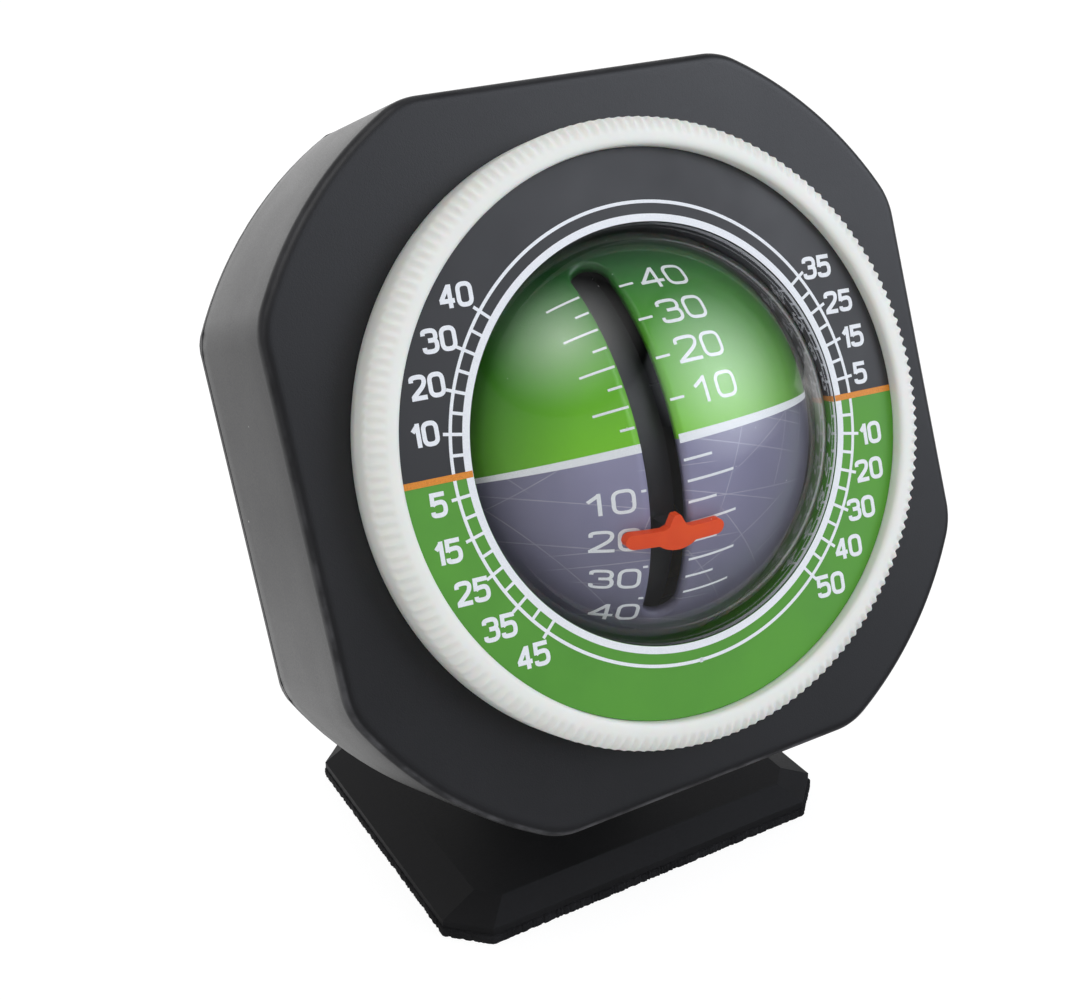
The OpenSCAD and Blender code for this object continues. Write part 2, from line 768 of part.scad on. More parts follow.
// The aircraft figure: wings, a lens-shaped body and a small fin
module aircraft(depth) {
    body_half = 2.3;
    body_h = 1.25;
    body_r = (body_half * body_half + body_h * body_h) / (2 * body_h);
    fin_top = 2.1;
    translate([-wing_half, -wing_r, 0]) cube([2 * wing_half, 2 * wing_r, depth]);
    for (s = [-1, 1]) translate([s * wing_half, 0, 0]) cylinder(r = wing_r, h = depth);
    translate([0, -0.15, 0]) intersection() {
        translate([0, body_r - body_h, 0]) cylinder(r = body_r, h = depth);
        translate([0, body_h - body_r, 0]) cylinder(r = body_r, h = depth);
    }
    linear_extrude(depth) polygon([[-1.3, 0], [-0.35, fin_top - 0.1], [-0.2, fin_top],
        [0.2, fin_top], [0.35, fin_top - 0.1], [1.3, 0]]);
}

module pointer() {
    color([0.93, 0.30, 0.08]) in_pitch() difference() {
        intersection() {
            translate([0, 0, 15]) aircraft(15);
            translate([-slot_x, 0, 0]) difference() {
                sphere(pointer_out_r);
                sphere(pointer_in_r);
            }
        }
        intersection() {
            cylinder(r = peg_r, h = 40);
            translate([-slot_x, 0, 0]) sphere(pointer_in_r + 0.5);
        }
    }
}

adhesive_pad();
base_plate();
hinge_bolt();
hinge_nut();
friction_washers();
tilt_bracket();
bracket_screws();
front_case();
rear_cover();
case_screws();
capsule_cup();
cup_screws();
dome_gasket();
dome_lens();
roll_bush();
bezel_spring();
bezel_ring();
scale_ring();
horizon_shell();
roll_carrier();
shell_screws();
roll_axle();
axle_clip();
roll_weight();
roll_weight_screws();
pitch_pin();
pin_clip();
pitch_wheel();
pitch_bush();
pitch_weight();
pitch_weight_rivets();
pointer();
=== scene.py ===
import bpy
import json
import math
import numpy as np
from mathutils import Matrix


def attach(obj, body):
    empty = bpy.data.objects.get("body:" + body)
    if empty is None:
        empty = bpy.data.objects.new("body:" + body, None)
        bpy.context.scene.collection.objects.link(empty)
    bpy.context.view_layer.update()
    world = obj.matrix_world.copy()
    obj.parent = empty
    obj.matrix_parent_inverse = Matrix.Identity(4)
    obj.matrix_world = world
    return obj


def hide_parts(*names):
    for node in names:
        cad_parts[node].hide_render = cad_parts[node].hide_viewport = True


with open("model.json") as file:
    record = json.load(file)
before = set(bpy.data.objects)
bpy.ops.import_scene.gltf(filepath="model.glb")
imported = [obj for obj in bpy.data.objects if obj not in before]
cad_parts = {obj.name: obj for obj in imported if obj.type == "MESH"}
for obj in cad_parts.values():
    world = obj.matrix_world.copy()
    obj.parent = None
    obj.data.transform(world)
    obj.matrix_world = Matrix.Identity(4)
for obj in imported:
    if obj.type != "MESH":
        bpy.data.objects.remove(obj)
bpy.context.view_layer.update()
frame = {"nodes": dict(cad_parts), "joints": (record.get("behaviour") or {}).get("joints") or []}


# ---------------------------------------------------------------- viewpoint
# The gauge is seen from its left and from above, by a camera held about 0.2 m away.
# Its axis meets the photograph's frame, in pixels, at axis_x and axis_y. The rows of its
# turn are its right, up and backward directions, solved from the dial's circles.
frame_w, frame_h, axis_x, axis_y = 1091, 1000, 548.18, 462.26
view_data = bpy.data.cameras.new("viewpoint")
view_data.sensor_width = 36
view_data.lens = 50.677
view_data.shift_x = (frame_w / 2 - axis_x) / frame_w
view_data.shift_y = (axis_y - frame_h / 2) / frame_w
view_data.clip_start = 0.01
view_data.dof.use_dof = False
viewpoint = bpy.data.objects.new("viewpoint", view_data)
bpy.context.scene.collection.objects.link(viewpoint)
view_turn = Matrix(((0.871472, -0.488918, -0.038666), (0.235281, 0.347596, 0.907645),
                    (-0.430324, -0.800085, 0.417954))).transposed()
view_place = Matrix.Translation((-0.073242, -0.135700, 0.113892))
viewpoint.matrix_world = view_place @ view_turn.to_4x4()
bpy.context.scene.camera = viewpoint


# ---------------------------------------------------------------- foam pad
# A die-cut pad of closed-cell foam with glue on both faces, dark grey to black. It is
# pressed on under the foot plate. The cutting knife leaves its edge ragged.
pad_w, pad_d, pad_t, pad_corner = 49.0, 41.8, 1.2, 4.0
pad_points, least_tooth = 1440, 0.35


def skin(name, grid, loop_rows=False, loop_columns=False, smooth=True):
    """Mesh whose points are a grid of rows and columns, in metres. The faces join point
    (i, j) to (i+1, j), (i+1, j+1) and (i, j+1), round the end where that way is a loop.
    Points that fall together are made one, so that poles and seams are closed."""
    grid = np.asarray(grid, float)
    rows, columns = grid.shape[:2]
    i = np.arange(rows if loop_rows else rows - 1)[:, None]
    j = np.arange(columns if loop_columns else columns - 1)[None, :]
    i2, j2 = (i + 1) % rows, (j + 1) % columns
    faces = np.stack([i * columns + j, i2 * columns + j, i2 * columns + j2,
                      i * columns + j2], -1)
    return mesh_of(name, grid.reshape(-1, 3), faces.reshape(-1, 4), smooth)


def mesh_of(name, points, faces, smooth=True):
    """Mesh of points and four-sided faces, as whole arrays. Points nearer than a
    ten-thousandth of a millimetre are merged, and a face that so loses a corner
    becomes a triangle."""
    places, index = np.unique(np.round(points * 1e7).astype(np.int64), axis=0,
                              return_inverse=True)
    kept = np.zeros((len(places), 3))
    kept[index.ravel()] = points
    faces = index.ravel()[faces]
    same = faces == np.roll(faces, -1, 1)
    whole = faces[same.sum(1) == 0]
    short = faces[same.sum(1) == 1]
    short = short[~same[same.sum(1) == 1]].reshape(-1, 3)
    mesh = bpy.data.meshes.new(name)
    mesh.from_pydata(kept.tolist(), [], whole.tolist() + short.tolist())
    mesh.polygons.foreach_set("use_smooth", np.full(len(mesh.polygons), smooth))
    mesh.update()
    piece = bpy.data.objects.new(name, mesh)
    bpy.context.scene.collection.objects.link(piece)
    return piece


def put(tree, kind, sockets=None, **settings):
    """Adds a shader node. A socket's value is a number, a colour, or another node's
    output, which is linked."""
    made = tree.nodes.new("ShaderNode" + kind)
    for setting, value in settings.items():
        setattr(made, setting, value)
    for socket, value in (sockets or {}).items():
        if isinstance(value, bpy.types.NodeSocket):
            tree.links.new(value, made.inputs[socket])
        else:
            made.inputs[socket].default_value = value
    return made


def calc(tree, operation, first, second=0.0):
    """Output of a Math node: an operation on one or two numbers or outputs."""
    return put(tree, "Math", {0: first, 1: second}, operation=operation).outputs[0]


def ink(red, green, blue):
    """Colour as it is seen, 0 to 255, turned into the linear one that a shader takes."""
    seen = np.array([red, green, blue]) / 255
    return (*np.where(seen > 0.04045, ((seen + 0.055) / 1.055) ** 2.4, seen / 12.92), 1.0)


def finish_of(name, **constants):
    """New material. Its constants are set on the shader's own sockets."""
    made = bpy.data.materials.new(name)
    made.use_nodes = True
    shader = made.node_tree.nodes["Principled BSDF"]
    for socket, value in constants.items():
        shader.inputs[socket.replace("_", " ")].default_value = value
    return made, made.node_tree, shader


def effect(name, inputs, outputs):
    """New node group whose inputs and outputs are numbers."""
    group = bpy.data.node_groups.new(name, "ShaderNodeTree")
    for way, sockets in (("INPUT", inputs), ("OUTPUT", outputs)):
        for socket, value in sockets.items():
            made = group.interface.new_socket(socket, in_out=way, socket_type="NodeSocketFloat")
            made.default_value = value
    return group, group.nodes.new("NodeGroupInput"), group.nodes.new("NodeGroupOutput")


def place_effect(tree, group, **values):
    """Puts an effect into a material with its own values, and gives its outputs."""
    return put(tree, "Group", values, node_tree=group).outputs


# Fine moulded or cut texture. Grain is its width in millimetres. Height is its relief,
# Mottle a slow change from place to place, and Specks are a few small pale spots. A speck's
# radius is speck_share of its cell, and bare_cells is the share of cells without one.
speck_share, bare_cells = 0.02, 0.45
surface_effect, given, result = effect(
    "surface_texture", {"Grain": 0.3, "Patch": 12.0, "Speck": 0.12},
    {"Height": 0.5, "Mottle": 0.5, "Specks": 0.0})
place = put(surface_effect, "TexCoord").outputs["Object"]
in_mm = put(surface_effect, "VectorMath", {0: place, 1: (1000, 1000, 1000)},
            operation="MULTIPLY").outputs[0]


def per_size(tree, points, size, scale=1.0):
    """The points times a scale and divided by a size in millimetres, for a pattern."""
    factor = calc(tree, "DIVIDE", scale, size)
    return put(tree, "VectorMath", {0: points, "Scale": factor}, operation="SCALE").outputs[0]


fine = put(surface_effect, "TexNoise", {"Vector": per_size(surface_effect, in_mm,
           given.outputs["Grain"]), "Scale": 1.0, "Detail": 3.0, "Roughness": 0.6})
slow = put(surface_effect, "TexNoise", {"Vector": per_size(surface_effect, in_mm,
           given.outputs["Patch"]), "Scale": 1.0, "Detail": 4.0, "Roughness": 0.55})
spots = put(surface_effect, "TexVoronoi", {"Vector": per_size(surface_effect, in_mm,
            given.outputs["Speck"], speck_share), "Scale": 1.0})
near = calc(surface_effect, "LESS_THAN", spots.outputs["Distance"], speck_share)
chosen = put(surface_effect, "SeparateColor", {0: spots.outputs["Color"]}).outputs[0]
rare = calc(surface_effect, "GREATER_THAN", chosen, bare_cells)
surface_effect.links.new(fine.outputs["Fac"], result.inputs["Height"])
surface_effect.links.new(slow.outputs["Fac"], result.inputs["Mottle"])
surface_effect.links.new(calc(surface_effect, "MULTIPLY", near, rare), result.inputs["Specks"])


def two_tone(tree, mask, low, high):
    """Colour that goes from low to high with a mask from 0 to 1."""
    return put(tree, "Mix", {"Factor": mask, "A": low, "B": high},
               data_type="RGBA").outputs["Result"]


def ranged(tree, value, low, high, to_low, to_high):
    """A value moved from one range to another, and held inside it."""
    return put(tree, "MapRange", {"Value": value, "From Min": low, "From Max": high,
                                  "To Min": to_low, "To Max": to_high}).outputs["Result"]


def bump(tree, height, distance, strength=1.0):
    """Normal from a height of 0 to 1 that stands for so many millimetres."""
    return put(tree, "Bump", {"Height": height, "Distance": distance / 1000,
                              "Strength": strength}).outputs["Normal"]


def textured_finish(name, dark, light, grain, relief, rough, patch=12.0, speck=0.12,
                    speck_tone=(0.4, 0.4, 0.4, 1.0), **constants):
    """Finish of a moulded or cut surface: two close tones that change slowly, a fine relief
    in millimetres, a roughness that changes with both, and a few specks of dust."""
    made, tree, shader = finish_of(name, **constants)
    found = place_effect(tree, surface_effect, Grain=grain, Patch=patch, Speck=speck)
    tone = two_tone(tree, ranged(tree, found["Mottle"], 0.3, 0.7, 0, 1), dark, light)
    tone = two_tone(tree, found["Specks"], tone, speck_tone)
    both = calc(tree, "ADD", found["Mottle"], found["Height"])
    tree.links.new(tone, shader.inputs["Base Color"])
    tree.links.new(ranged(tree, both, 0.7, 1.3, *rough), shader.inputs["Roughness"])
    tree.links.new(bump(tree, found["Height"], relief), shader.inputs["Normal"])
    return made


def finished(piece, material, body, slot, *nodes):
    """Gives a new piece its material, and lets it ride on its body and stand for nodes."""
    piece.data.materials.clear()
    piece.data.materials.append(material)
    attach(piece, body)
    if nodes:
        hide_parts(*nodes)
    return piece


def dress(material, *nodes):
    """Gives nodes of the solid model, which stay as they are, a material."""
    for node in nodes:
        for socket in frame["nodes"][node].material_slots:
            socket.material = material


def pad_outline(count):
    """Outline of a rectangle with four cut corners: the distance from the middle in
    each direction is the least of its four pairs of sides."""
    turn = np.linspace(0, 2 * np.pi, count, endpoint=False)
    cut = pad_w / 2 + pad_d / 2 - pad_corner
    across, along = np.abs(np.cos(turn)), np.abs(np.sin(turn))
    reach = np.minimum(np.minimum(pad_w / 2 / np.maximum(across, 1e-9),
                                  pad_d / 2 / np.maximum(along, 1e-9)),
                       cut / (across + along))
    return turn, reach


pad_turn, pad_reach = pad_outline(pad_points)
ragged = np.random.default_rng(4)
teeth = np.convolve(np.tile(ragged.uniform(0, 1, pad_points), 3), [0.25, 0.5, 0.25],
                    "same")[pad_points:2 * pad_points]
# Each row lies at a share of the outline and of the thickness. The knife's teeth bite into
# it to its own depth, in millimetres, where they are above the least tooth that shows.
pad_rows = np.array([[0, 0], [0.985, 0], [1, 0.1], [1, 0.5], [1, 0.9], [0.985, 1], [0, 1]])
pad_rows = pad_rows * [1, pad_t]
pad_bite = np.array([0, 0.35, 0.6, 0.3, 0.75, 0.4, 0])[:, None] * (teeth - least_tooth).clip(0)
pad_radius = pad_rows[:, :1] * pad_reach - 0.6 * pad_bite
pad_grid = np.stack([pad_radius * np.cos(pad_turn), pad_radius * np.sin(pad_turn),
                     np.broadcast_to(pad_rows[:, 1:], pad_radius.shape)], -1) / 1000
foam_pad = skin("foam_pad", pad_grid[:, ::-1], loop_columns=True, smooth=False)
foam = textured_finish("black_foam", ink(22, 22, 24), ink(40, 40, 42), 0.22, 0.12, (0.85, 0.98),
                       patch=4.0, Specular_IOR_Level=0.25)
finished(foam_pad, foam, "base", "foam_pad", "adhesive_pad")


# ---------------------------------------------------------------- foot plate
# Moulded black ABS plate with bevelled edges and two ears for the hinge. It has a fine
# spark-eroded texture.
foot_plastic = textured_finish("foot_plastic", ink(31, 31, 32), ink(36, 36, 38), 0.18, 0.012,
                               (0.5, 0.65), Specular_IOR_Level=0.14)
dress(foot_plastic, "base_plate")


# ---------------------------------------------------------------- hinge
# A steel bolt with a hexagon socket and its nut clamp the lug between two nylon washers.
# Turned steel has fine rings and is bright with a dull oxide in the hollows.
def smooth_skin(tree, shader, found, rough):
    """Skin of metal or print: a roughness that changes slowly between two values, and a
    relief of 0.004 mm."""
    tree.links.new(ranged(tree, found["Mottle"], 0.3, 0.7, *rough), shader.inputs["Roughness"])
    tree.links.new(bump(tree, found["Height"], 0.004), shader.inputs["Normal"])


def metal_finish(name, dark, light, rough):
    """Turned or wire metal: two tones that follow a fine grain, with a faint relief."""
    made, tree, shader = finish_of(name, Metallic=1.0)
    found = place_effect(tree, surface_effect, Grain=0.08, Patch=2.5, Speck=0.1)
    shade = calc(tree, "MULTIPLY", found["Mottle"], found["Height"])
    tree.links.new(two_tone(tree, ranged(tree, shade, 0.15, 0.4, 0, 1), dark, light),
                   shader.inputs["Base Color"])
    smooth_skin(tree, shader, found, rough)
    return made


steel = metal_finish("plated_steel", ink(120, 120, 124), ink(196, 197, 200), (0.2, 0.42))
nylon = textured_finish("natural_nylon", ink(196, 190, 168), ink(214, 208, 188), 0.25, 0.006,
                        (0.35, 0.5), Subsurface_Weight=0.15, Subsurface_Scale=0.001)
dress(steel, "hinge_bolt", "hinge_nut")
dress(nylon, "friction_washers")


# ---------------------------------------------------------------- tilt bracket
# Moulded black plastic: a plate behind the pod with a lug that reaches down between the
# foot's ears. Four small pan-headed screws hold it to the pod.
bracket_plastic = textured_finish("bracket_plastic", ink(24, 24, 26), ink(33, 33, 36), 0.2, 0.012,
                                  (0.4, 0.58))
dress(bracket_plastic, "tilt_bracket")
dress(steel, "bracket_screws")


# ---------------------------------------------------------------- rear cover
# Moulded ABS back plate with a round pod for the works. Four screws hold it in the
# housing's cut corners. Its texture is that of the housing.
cover_plastic = textured_finish("cover_plastic", ink(34, 34, 37), ink(44, 44, 47), 0.2, 0.012,
                                (0.42, 0.6))
dress(cover_plastic, "rear_cover")
dress(steel, "case_screws")


# ---------------------------------------------------------------- housing
# Moulded black ABS with a satin spark-eroded texture. Its walls lean in towards the face, and its
# edges are rounded, with a painted highlight along the lower edge. Four screws join it to the
# cover.
case_half, case_round, case_fillet, wall = 36.0, 40.1, 8.0, 2.2
case_face, case_seam, case_edge, case_draft = -3.8, -21.9, 1.0, math.radians(1.9)
dial_turn = next(joint for joint in frame["joints"] if joint["name"] == "bezel_turn")
dial_centre = np.array(dial_turn["pos_m"])
facing = np.array(dial_turn["axis"]) / np.linalg.norm(dial_turn["axis"])
upward = np.cross(facing, [1, 0, 0])


def at_head(across, up, out):
    """Points given in millimetres from the dial's centre, across the face, up it and out
    of it, turned into the frame's metres."""
    across, up, out = np.broadcast_arrays(across, up, out)
    return dial_centre + (across[..., None] * np.array([1.0, 0, 0]) + up[..., None] * upward
                          + out[..., None] * facing) / 1000


def case_reach(turn, inset):
    """Distance of the housing's outline from the axis in a direction. The flats end at the
    height of the fillet's centre, y = sqrt((R - f)^2 - (a - f)^2), and from there a fillet
    of radius f leads to the corner arc R. An inset makes a, R and f smaller alike."""
    fold = np.abs((turn + np.pi / 4) % (np.pi / 2) - np.pi / 4)
    centre = np.array([case_half - case_fillet, math.sqrt((case_round - case_fillet) ** 2
                                                         - (case_half - case_fillet) ** 2)])
    half, corner, fillet = case_half - inset, case_round - inset, case_fillet - inset
    towards = centre[0] * np.cos(fold) + centre[1] * np.sin(fold)
    rounded = towards + np.sqrt(np.maximum(towards ** 2 - centre @ centre + fillet ** 2, 0))
    reach = np.where(fold < np.arctan2(centre[1], half), half / np.cos(fold), rounded)
    return np.where(fold > math.atan2(centre[1], centre[0]), corner, reach)


case_turns = np.linspace(0, 2 * np.pi, 720, endpoint=False)
edge_turns = np.linspace(0, np.pi / 2 - case_draft, 9)
edge_inset = ((case_face - case_edge - case_seam) * math.tan(case_draft)
              + case_edge / math.cos(case_draft))
# The spigot's profile, inside and out, with the groove of the bezel's spring: radius, out
case_rows = [(24.2, -6.2), (24.2, -5.0), (24.2, -1.2), (24.35, -1.2), (26.3, -1.2),
             (26.42, -1.32), (26.42, -2.0), (25.85, -2.0), (25.85, -3.0), (26.42, -3.0),
             (26.42, case_face)]


def case_ring(radius, out):
    """Radius in each direction, and height out of the face, of one ring of the housing."""
    return np.stack(np.broadcast_arrays(radius, out + np.zeros_like(case_turns)))


case_grid = [case_ring(radius, out) for radius, out in case_rows]
case_grid += [case_ring(share * case_reach(case_turns, edge_inset + 0.3) + (1 - share) * 26.6,
                        case_face) for share in (0, 0.5, 1)]
case_grid += [case_ring(case_reach(case_turns, edge_inset - case_edge * math.sin(a)),
                        case_face - case_edge * (1 - math.cos(a))) for a in edge_turns]
case_grid += [case_ring(case_reach(case_turns, (out - case_seam) * math.tan(case_draft) + inset),
                        out)
              for out, inset in ((-8.0, 0), (-14.0, 0), (-20.0, 0), (-21.7, 0), (-21.82, 0.04),
                                 (case_seam, 0.16), (case_seam, 0.4), (case_seam, wall),
                                 (-21.6, wall), (-6.4, wall), (-6.2, wall + 0.2))]
case_grid = np.stack(case_grid)
case_piece = skin("drafted_case", at_head(case_grid[:, 0] * np.cos(case_turns),
                                          case_grid[:, 0] * np.sin(case_turns), case_grid[:, 1]),
                  loop_rows=True, loop_columns=True)


def face_place(tree, turn=0.0):
    """Place on the face in millimetres: x across, y up and z out of it, from the dial's
    centre. The Mapping node turns the pattern as the dial is turned."""
    lean = -math.acos(upward[1])
    where = put(tree, "TexCoord").outputs["Object"]
    offset = -np.array([0, upward @ dial_centre, facing @ dial_centre])
    c, s = math.cos(turn), math.sin(turn)
    offset = np.array([offset[0] * c - offset[1] * s, offset[0] * s + offset[1] * c, offset[2]])
    moved = put(tree, "Mapping", {"Vector": where, "Location": offset * 1000,
                                  "Rotation": (lean, 0, turn), "Scale": (1000, 1000, 1000)})
    return moved.outputs["Vector"]


case_plastic = textured_finish("case_plastic", ink(27, 27, 29), ink(33, 33, 36), 0.16, 0.010,
                               (0.33, 0.46), patch=20.0, speck=0.1)
tree, shader = case_plastic.node_tree, case_plastic.node_tree.nodes["Principled BSDF"]
# Painted highlight: a pale, glossier line between these heights out of the face, strongest along
# the lower side
parts = put(tree, "SeparateXYZ", {0: face_place(tree)}).outputs
found = place_effect(tree, surface_effect, Grain=0.5, Patch=3.0, Speck=0.1)
painted_edge_highlight = calc(tree, "MULTIPLY", ranged(tree, parts["Z"], -4.6, -4.2, 0, 1),
              ranged(tree, parts["Z"], -4.0, -3.88, 1, 0))
painted_edge_highlight = calc(tree, "MULTIPLY", painted_edge_highlight, ranged(tree, parts["Y"], -20, 8, 1, 0.25))
painted_edge_highlight = calc(tree, "MULTIPLY", painted_edge_highlight, ranged(tree, found["Mottle"], 0.4, 0.6, 0.2, 0.8))
dull = shader.inputs["Base Color"].links[0].from_socket
# Painted highlight colour of the edge line, over the plastic's own tone
tree.links.new(two_tone(tree, painted_edge_highlight, dull, ink(88, 88, 91)), shader.inputs["Base Color"])
matt = shader.inputs["Roughness"].links[0].from_socket
polished = put(tree, "Mix", {"Factor": painted_edge_highlight, "A": matt, "B": 0.3}, data_type="FLOAT")
tree.links.new(polished.outputs["Result"], shader.inputs["Roughness"])
finished(case_piece, case_plastic, "head", "case_plastic", "front_case")


# ---------------------------------------------------------------- capsule cup
# Black cup that closes the works from behind, with a rubber ring and four screws. All
# that shows of it is a dark wall behind the ball's rim.
cup_plastic = textured_finish("cup_plastic", ink(14, 14, 15), ink(20, 20, 22), 0.2, 0.01,
                              (0.35, 0.5))
rubber = textured_finish("gasket_rubber", ink(20, 20, 20), ink(30, 30, 30), 0.3, 0.01, (0.6, 0.8))
dress(cup_plastic, "capsule_cup")
dress(rubber, "dome_gasket")
dress(steel, "cup_screws")


# ---------------------------------------------------------------- roll works
# A steel axle with an open clip turns in a brass bush. The moulded frame on it carries the
# ball, the pitch pin and a brass weight, which keeps the ball upright.
brass = metal_finish("turned_brass", ink(150, 118, 60), ink(205, 172, 104), (0.22, 0.45))
works_plastic = textured_finish("works_plastic", ink(20, 20, 23), ink(28, 28, 32), 0.2, 0.01,
                                (0.35, 0.5))
dress(brass, "roll_bush", "roll_weight")
dress(steel, "roll_axle", "axle_clip", "roll_weight_screws", "shell_screws")
dress(works_plastic, "roll_carrier")


# ---------------------------------------------------------------- horizon ball
# The front of a hollow plastic ball, moulded and printed: green above its horizon line,
# grey-violet below. A slot runs up its front, left of the middle, with round ends.
ball_r, ball_wall, ball_depth, ball_rim = 23.2, 1.0, 16.5, 2.5
slot_at, slot_half, slot_low, slot_high = -4.3, 1.85, math.radians(42.5), math.radians(44.5)
slot_limit, ball_steps = 0.7, (22, 46, 22)


def at_ball(across, turn, radius=ball_r):
    """Points of a ball of this radius: x millimetres across, and sqrt(radius^2 - x^2) from
    the line that runs across its middle, turned up from its front by an angle."""
    reach = np.sqrt(np.maximum(radius ** 2 - across ** 2, 0))
    return at_head(across, reach * np.sin(turn), reach * np.cos(turn) - ball_depth)


def ball_grid(across, steps):
    """Rows that run up the ball at each place across it. Each row goes from the lower rim
    to the slot's lower end, on to its upper end, and to the upper rim. The ends are round:
    they lie arcsin(sqrt(half^2 - x^2) / reach) past their centres, x from the slot's middle,
    and at most at slot_limit of the way to the rim."""
    reach = np.sqrt(ball_r ** 2 - across ** 2)
    rim = np.arccos(np.minimum(ball_rim / reach, 1))
    end_reach = np.sqrt(np.maximum(slot_half ** 2 - (across - slot_at) ** 2, 0))
    low, high = (np.minimum(end + np.arcsin(end_reach / reach), slot_limit * rim)
                 for end in (slot_low, slot_high))
    knots = np.stack([-rim, -low, high, rim], 1)
    share = [np.linspace(0, 1, n) for n in steps]
    return [knots[:, k, None] * (1 - share[k]) + knots[:, k + 1, None] * share[k]
            for k in range(3)]


ball_edge = math.sqrt(ball_r ** 2 - ball_rim ** 2)
slot_left, slot_right = (math.asin((slot_at + side) / ball_edge)
                         for side in (-slot_half, slot_half))
left_stops = ball_edge * np.sin(np.linspace(-np.pi / 2, slot_left, 40))
slot_stops = slot_at - slot_half * np.cos(np.linspace(0, np.pi, 25))
right_stops = ball_edge * np.sin(np.linspace(slot_right, np.pi / 2, 64))
ball_points, ball_faces, ball_count = [], [], 0
for stops, parts in ((left_stops, (0, 1, 2)), (slot_stops, (0, 2)), (right_stops, (0, 1, 2))):
    bands = ball_grid(stops, ball_steps)
    for part in parts:
        turns = bands[part]
        points = at_ball(np.broadcast_to(stops[:, None], turns.shape), turns)
        rows, columns = turns.shape
        corner = ball_count + np.arange(rows - 1)[:, None] * columns + np.arange(columns - 1)
        ball_faces.append(np.stack([corner, corner + columns, corner + columns + 1, corner + 1],
                                   -1).reshape(-1, 4))
        ball_points.append(points.reshape(-1, 3))
        ball_count += rows * columns
ball_piece = mesh_of("ball_front", np.concatenate(ball_points), np.concatenate(ball_faces))
ball_wall_mod = ball_piece.modifiers.new("wall", "SOLIDIFY")
ball_wall_mod.thickness = ball_wall / 1000
ball_wall_mod.offset = -1


# Straight scratches across a surface: one in each strip of a given width, at a chance
# place and of a chance length
scratch_effect, given, result = effect(
    "straight_scratches",
    {"Across": 0.0, "Along": 0.0, "Strip": 4.0, "Seed": 0.0, "Width": 0.06}, {"Line": 0.0})
given = given.outputs
strip = calc(scratch_effect, "DIVIDE", given["Across"], given["Strip"])
count = calc(scratch_effect, "FLOOR", strip)
chance = put(scratch_effect, "TexWhiteNoise",
             {"W": calc(scratch_effect, "ADD", count, given["Seed"])},
             noise_dimensions="1D").outputs["Color"]
chance = put(scratch_effect, "SeparateColor", {0: chance}).outputs
line_at = calc(scratch_effect, "ADD", count, ranged(scratch_effect, chance[0], 0, 1, 0.1, 0.9))
off = calc(scratch_effect, "ABSOLUTE", calc(scratch_effect, "SUBTRACT", strip, line_at))
off = calc(scratch_effect, "MULTIPLY", off, given["Strip"])
off = calc(scratch_effect, "DIVIDE", off, given["Width"])
middle = ranged(scratch_effect, chance[1], 0, 1, -16, 16)
away = calc(scratch_effect, "SUBTRACT", given["Along"], middle)
away = calc(scratch_effect, "ABSOLUTE", away)
length = ranged(scratch_effect, chance[2], 0, 1, 3, 11)
ends = calc(scratch_effect, "SUBTRACT", length, away)
both = calc(scratch_effect, "MULTIPLY", ranged(scratch_effect, off, 0.3, 1.0, 1, 0),
            ranged(scratch_effect, ends, 0, 2, 0, 1))
scratch_effect.links.new(both, result.inputs["Line"])


def scratches(tree, where, laid):
    """The strongest of several sets of scratches. Each set has its own angle, width of
    strip and seed."""
    strongest = None
    for turn, strip, seed in laid:
        moved = put(tree, "Mapping", {"Vector": where, "Rotation": (0, 0, turn)}).outputs[0]
        parts = put(tree, "SeparateXYZ", {0: moved}).outputs
        scratch = place_effect(tree, scratch_effect, Across=parts["Y"], Along=parts["X"],
                               Strip=strip, Seed=seed)["Line"]
        strongest = scratch if strongest is None else calc(tree, "MAXIMUM", strongest, scratch)
    return strongest


# Painted shade: both colours darken towards the rim with the distance from ball_light, where the
# ball is most lit
ball_light = (-3.5, 1.0, 6.7)
ball_skin, tree, shader = finish_of("printed_ball", Coat_Weight=0.25, Coat_Roughness=0.2)
where = face_place(tree)
parts = put(tree, "SeparateXYZ", {0: where}).outputs
found = place_effect(tree, surface_effect, Grain=0.12, Patch=9.0, Speck=0.06)
lime = ranged(tree, parts["Y"], 0, 17, 1, 0)
away = put(tree, "VectorMath", {0: where, 1: ball_light}, operation="DISTANCE").outputs["Value"]
painted_rim_shade = ranged(tree, away, 8, 24, 0.0, 0.85)
green = two_tone(tree, lime, ink(34, 128, 48), ink(122, 206, 20))
green = two_tone(tree, painted_rim_shade, green, ink(24, 84, 36))
# Painted shade: the green darkens again near the upper rim
green = two_tone(tree, ranged(tree, parts["Y"], 14.5, 19.5, 0.0, 0.85), green, ink(28, 44, 32))
violet = two_tone(tree, ranged(tree, found["Mottle"], 0.3, 0.7, 0, 1),
                  ink(134, 132, 162), ink(150, 147, 178))
scratch = scratches(tree, where, ((0.32, 3.0, 3.0), (-0.42, 4.5, 17.0), (0.9, 5.0, 29.0),
                                  (0.12, 3.5, 41.0), (-1.1, 6.0, 53.0)))
pale = calc(tree, "MULTIPLY", scratch, ranged(tree, found["Mottle"], 0.35, 0.65, 0.2, 0.6))
violet = two_tone(tree, pale, violet, ink(226, 226, 236))
violet = two_tone(tree, painted_rim_shade, violet, ink(58, 57, 68))
above = calc(tree, "GREATER_THAN", parts["Y"], 0.0)
tree.links.new(two_tone(tree, above, violet, green), shader.inputs["Base Color"])
smooth_skin(tree, shader, found, (0.32, 0.46))
finished(ball_piece, ball_skin, "horizon", "ball_print", "horizon_shell")


